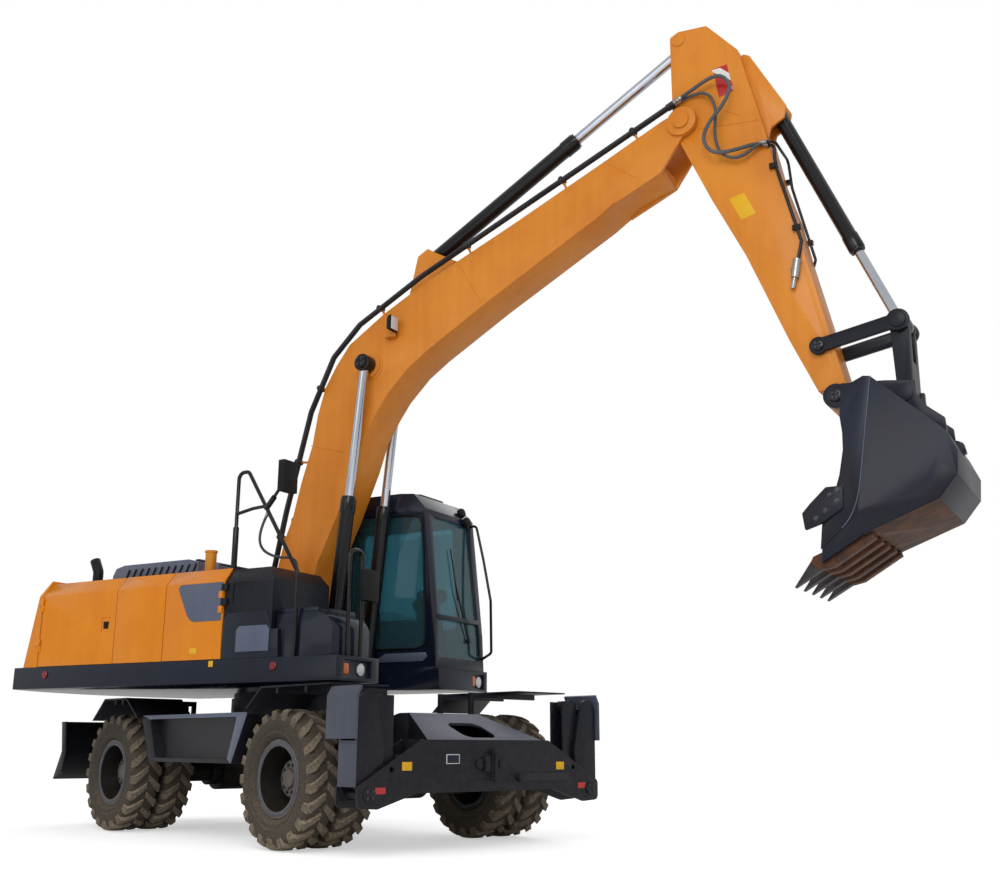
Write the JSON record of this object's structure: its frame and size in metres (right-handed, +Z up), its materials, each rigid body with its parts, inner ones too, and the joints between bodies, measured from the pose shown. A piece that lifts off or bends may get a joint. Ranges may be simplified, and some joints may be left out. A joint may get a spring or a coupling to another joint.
{
  "type": "wheeled excavator",
  "caption": "Wheeled excavator with a one-piece boom, arm and digging bucket on a slewing upper structure, twin tyres front and rear, outrigger legs in front and a dozer blade behind",
  "frame": {"origin": "on the floor under the middle of the whole machine, measured over everything that turns with it", "axes": "+X is the way the undercarriage drives, +Y its left, +Z up; the upper structure and its gear are slewed 17.6 degrees to the left, as in the picture"},
  "size_m": [8.6848, 4.2777, 6.8674],
  "materials": {
    "boom_paint": "orange-yellow gloss paint",
    "counterweight": "yellow painted casting",
    "dark_paint": "near-black blue paint",
    "engine_block": "painted iron",
    "glass": "green-blue tinted safety glass",
    "hose": "grey sleeved hose",
    "panel_paint": "orange-yellow gloss paint",
    "rim": "black gloss paint",
    "rod_chrome": "polished hard chrome",
    "seat_plastic": "grained black plastic",
    "tyre": "dusty black rubber"
  },
  "bodies": {
    "undercarriage": {"chassis_frame": "dark_paint", "outrigger_beam": "dark_paint", "axles": "dark_paint", "fenders": "dark_paint", "step_boxes": "dark_paint"},
    "upper": {"upper_frame": "dark_paint", "counterweight": "counterweight", "engine_block": "engine_block", "housing_frame": "dark_paint", "side_panels": "panel_paint", "fuel_tank": "dark_paint", "tool_box": "dark_paint", "cab_shell": "dark_paint", "cab_glass": "glass", "cab_interior": "seat_plastic", "handrails": "dark_paint", "roof_fittings": "dark_paint", "deck_hose": "hose"},
    "boom": {"boom": "boom_paint", "boom_pipes": "dark_paint", "arm_hose_outer": "hose", "arm_hose_inner": "hose"},
    "boom_barrels": {"boom_ram_barrels": "dark_paint"},
    "boom_rods": {"boom_ram_rods": "rod_chrome"},
    "arm": {"arm": "boom_paint", "arm_pipes": "dark_paint"},
    "arm_barrel": {"arm_ram_barrel": "dark_paint"},
    "arm_rod": {"arm_ram_rod": "rod_chrome"},
    "bucket": {"bucket": "dark_paint"},
    "bucket_barrel": {"bucket_ram_barrel": "dark_paint"},
    "bucket_rod": {"bucket_ram_rod": "rod_chrome"},
    "rocker": {"rocker_links": "dark_paint"},
    "link": {"bucket_link": "dark_paint"},
    "blade": {"dozer_blade": "dark_paint"},
    "blade_barrels": {"blade_ram_barrels": "dark_paint"},
    "blade_rods": {"blade_ram_rods": "rod_chrome"},
    "right_rear_door": {"right_rear_door": "panel_paint"},
    "right_front_door": {"right_front_door": "panel_paint"},
    "left_rear_door": {"left_rear_door": "panel_paint"},
    "hood": {"engine_hood": "dark_paint"},
    "box_lid": {"tool_box_lid": "dark_paint"},
    "cab_door": {"cab_door": "dark_paint"},
    "leg_left": {"outrigger_leg_left": "dark_paint"},
    "leg_foot_left": {"outrigger_foot_left": "dark_paint"},
    "leg_barrel_left": {"outrigger_barrel_left": "dark_paint"},
    "leg_rod_left": {"outrigger_rod_left": "rod_chrome"},
    "knuckle_left": {"steering_knuckle_left": "dark_paint"},
    "front_wheel_left": {"tyre_front_left": "tyre", "rim_front_left": "rim"},
    "rear_wheel_left": {"tyre_rear_left": "tyre", "rim_rear_left": "rim"},
    "leg_right": {"outrigger_leg_right": "dark_paint"},
    "leg_foot_right": {"outrigger_foot_right": "dark_paint"},
    "leg_barrel_right": {"outrigger_barrel_right": "dark_paint"},
    "leg_rod_right": {"outrigger_rod_right": "rod_chrome"},
    "knuckle_right": {"steering_knuckle_right": "dark_paint"},
    "front_wheel_right": {"tyre_front_right": "tyre", "rim_front_right": "rim"},
    "rear_wheel_right": {"tyre_rear_right": "tyre", "rim_rear_right": "rim"}
  },
  "joints": [
    {"name": "slew", "type": "hinge", "parent": "undercarriage", "child": "upper", "pos_m": [-1.645, -0.215, 1.222], "axis": [0, 0, 1], "continuous": true},
    {"name": "boom_lift", "type": "hinge", "parent": "upper", "child": "boom", "pos_m": [-1.60687, -0.20291, 1.97], "axis": [0.3024, -0.9532, 0], "range_deg": [-73, 8]},
    {"name": "boom_barrels_swing", "type": "hinge", "parent": "upper", "child": "boom_barrels", "pos_m": [-1.12551, -0.05021, 1.44], "axis": [0.3024, -0.9532, 0], "range_deg": [-68.48, 7.95]},
    {"name": "boom_rods_stroke", "type": "slide", "parent": "boom_barrels", "child": "boom_rods", "axis": [0.097, 0.0308, 0.9948], "range_m": [-0.86035, 0.09607]},
    {"name": "arm_swing", "type": "hinge", "parent": "boom", "child": "arm", "pos_m": [2.21542, 1.0096, 5.96], "axis": [-0.3024, 0.9532, 0], "range_deg": [-72, 20]},
    {"name": "arm_barrel_swing", "type": "hinge", "parent": "boom", "child": "arm_barrel", "pos_m": [-0.31053, 0.20832, 5.3], "axis": [0.3024, -0.9532, 0], "range_deg": [-0.63, 0.97]},
    {"name": "arm_rod_stroke", "type": "slide", "parent": "arm_barrel", "child": "arm_rod", "axis": [0.8304, 0.2634, 0.491], "range_m": [-0.98438, 0.27488]},
    {"name": "bucket_curl", "type": "hinge", "parent": "arm", "child": "bucket", "pos_m": [3.29634, 1.35249, 3.334], "axis": [-0.3024, 0.9532, 0], "range_deg": [-65, 85]},
    {"name": "rocker_swing", "type": "hinge", "parent": "arm", "child": "rocker", "pos_m": [3.1953, 1.32043, 3.755], "axis": [0.3024, -0.9532, 0], "range_deg": [-65.73, 50.39]},
    {"name": "link_swing", "type": "hinge", "parent": "bucket", "child": "link", "pos_m": [3.77294, 1.50367, 3.282], "axis": [0.3024, -0.9532, 0], "range_deg": [-45.16, 58.9]},
    {"name": "bucket_barrel_swing", "type": "hinge", "parent": "arm", "child": "bucket_barrel", "pos_m": [2.97321, 1.24998, 5.88], "axis": [0.3024, -0.9532, 0], "range_deg": [-4.48, 3.54]},
    {"name": "bucket_rod_stroke", "type": "slide", "parent": "bucket_barrel", "child": "bucket_rod", "axis": [0.3635, 0.1153, -0.9244], "range_m": [-0.4629, 0.60471]},
    {"name": "blade_lift", "type": "hinge", "parent": "undercarriage", "child": "blade", "pos_m": [-3.285, -0.215, 0.44], "axis": [0, -1, 0], "range_deg": [0, 28]},
    {"name": "blade_barrels_swing", "type": "hinge", "parent": "undercarriage", "child": "blade_barrels", "pos_m": [-3.475, -0.215, 0.915], "axis": [0, -1, 0], "range_deg": [-0.5, 20.91]},
    {"name": "blade_rods_stroke", "type": "slide", "parent": "blade_barrels", "child": "blade_rods", "axis": [-0.8528, 0, -0.5223], "range_m": [-0.002, 0.23935]},
    {"name": "outrigger_left", "type": "hinge", "parent": "undercarriage", "child": "leg_left", "pos_m": [0.852, 0.915, 0.43], "axis": [-1, 0, 0], "range_deg": [0, 118]},
    {"name": "outrigger_foot_left", "type": "hinge", "parent": "leg_left", "child": "leg_foot_left", "pos_m": [0.852, 0.925, 1.05], "axis": [1, 0, 0], "range_deg": [0, 32]},
    {"name": "outrigger_barrel_swing_left", "type": "hinge", "parent": "undercarriage", "child": "leg_barrel_left", "pos_m": [0.852, 0.745, 1.08], "axis": [1, 0, 0], "range_deg": [-0.5, 6.38]},
    {"name": "outrigger_rod_stroke_left", "type": "slide", "parent": "leg_barrel_left", "child": "leg_rod_left", "axis": [0, 0.4123, -0.9111], "range_m": [-0.002, 0.36007]},
    {"name": "steer_left", "type": "hinge", "parent": "undercarriage", "child": "knuckle_left", "pos_m": [-0.045, 0.375, 0.518], "axis": [0, 0, 1], "range_deg": [-25, 25]},
    {"name": "front_wheel_left", "type": "hinge", "parent": "knuckle_left", "child": "front_wheel_left", "pos_m": [-0.045, 0.739, 0.518], "axis": [0, 1, 0], "continuous": true},
    {"name": "rear_wheel_left", "type": "hinge", "parent": "undercarriage", "child": "rear_wheel_left", "pos_m": [-2.845, 0.739, 0.518], "axis": [0, 1, 0], "continuous": true},
    {"name": "outrigger_right", "type": "hinge", "parent": "undercarriage", "child": "leg_right", "pos_m": [0.852, -1.345, 0.43], "axis": [1, 0, 0], "range_deg": [0, 118]},
    {"name": "outrigger_foot_right", "type": "hinge", "parent": "leg_right", "child": "leg_foot_right", "pos_m": [0.852, -1.355, 1.05], "axis": [-1, 0, 0], "range_deg": [0, 32]},
    {"name": "outrigger_barrel_swing_right", "type": "hinge", "parent": "undercarriage", "child": "leg_barrel_right", "pos_m": [0.852, -1.175, 1.08], "axis": [-1, 0, 0], "range_deg": [-0.5, 6.38]},
    {"name": "outrigger_rod_stroke_right", "type": "slide", "parent": "leg_barrel_right", "child": "leg_rod_right", "axis": [0, -0.4123, -0.9111], "range_m": [-0.002, 0.36007]},
    {"name": "steer_right", "type": "hinge", "parent": "undercarriage", "child": "knuckle_right", "pos_m": [-0.045, -0.805, 0.518], "axis": [0, 0, 1], "range_deg": [-25, 25]},
    {"name": "front_wheel_right", "type": "hinge", "parent": "knuckle_right", "child": "front_wheel_right", "pos_m": [-0.045, -1.169, 0.518], "axis": [0, 1, 0], "continuous": true},
    {"name": "rear_wheel_right", "type": "hinge", "parent": "undercarriage", "child": "rear_wheel_right", "pos_m": [-2.845, -1.169, 0.518], "axis": [0, 1, 0], "continuous": true},
    {"name": "right_rear_door", "type": "hinge", "parent": "upper", "child": "right_rear_door", "pos_m": [-3.28989, -2.06076, 1.465], "axis": [0, 0, 1], "range_deg": [-100, 0]},
    {"name": "right_front_door", "type": "hinge", "parent": "upper", "child": "right_front_door", "pos_m": [-1.14331, -1.37983, 1.465], "axis": [0, 0, 1], "range_deg": [0, 100]},
    {"name": "left_rear_door", "type": "hinge", "parent": "upper", "child": "left_rear_door", "pos_m": [-4.05307, 0.34509, 1.465], "axis": [0, 0, 1], "range_deg": [0, 100]},
    {"name": "hood_lift", "type": "hinge", "parent": "upper", "child": "hood", "pos_m": [-1.73632, 0.07286, 2.27], "axis": [-0.9532, -0.3024, 0], "range_deg": [0, 60]},
    {"name": "box_lid_lift", "type": "hinge", "parent": "upper", "child": "box_lid", "pos_m": [-0.99302, -0.00818, 1.874], "axis": [0.3024, -0.9532, 0], "range_deg": [0, 75]},
    {"name": "cab_door", "type": "hinge", "parent": "upper", "child": "cab_door", "pos_m": [-2.31255, 0.89722, 1.47], "axis": [0, 0, 1], "range_deg": [0, 160]}
  ],
  "couplings": [
    {"joint": "boom_barrels_swing", "follows": "boom_lift", "ratio": 0.93117},
    {"joint": "boom_rods_stroke", "follows": "boom_lift", "m_per_rad": 0.6737},
    {"joint": "arm_barrel_swing", "follows": "arm_swing", "ratio": -0.00654},
    {"joint": "arm_rod_stroke", "follows": "arm_swing", "m_per_rad": 0.78175},
    {"joint": "rocker_swing", "follows": "bucket_curl", "ratio": -0.76747},
    {"joint": "link_swing", "follows": "bucket_curl", "ratio": 0.68704},
    {"joint": "bucket_barrel_swing", "follows": "bucket_curl", "ratio": -0.04677},
    {"joint": "bucket_rod_stroke", "follows": "bucket_curl", "m_per_rad": 0.40627},
    {"joint": "blade_barrels_swing", "follows": "blade_lift", "ratio": 0.72893},
    {"joint": "blade_rods_stroke", "follows": "blade_lift", "m_per_rad": 0.48568},
    {"joint": "outrigger_barrel_swing_left", "follows": "outrigger_left", "ratio": 0.04985},
    {"joint": "outrigger_rod_stroke_left", "follows": "outrigger_left", "m_per_rad": 0.17386},
    {"joint": "outrigger_barrel_swing_right", "follows": "outrigger_right", "ratio": 0.04985},
    {"joint": "outrigger_rod_stroke_right", "follows": "outrigger_right", "m_per_rad": 0.17386},
    {"joint": "steer_right", "follows": "steer_left", "ratio": 1}
  ]
}
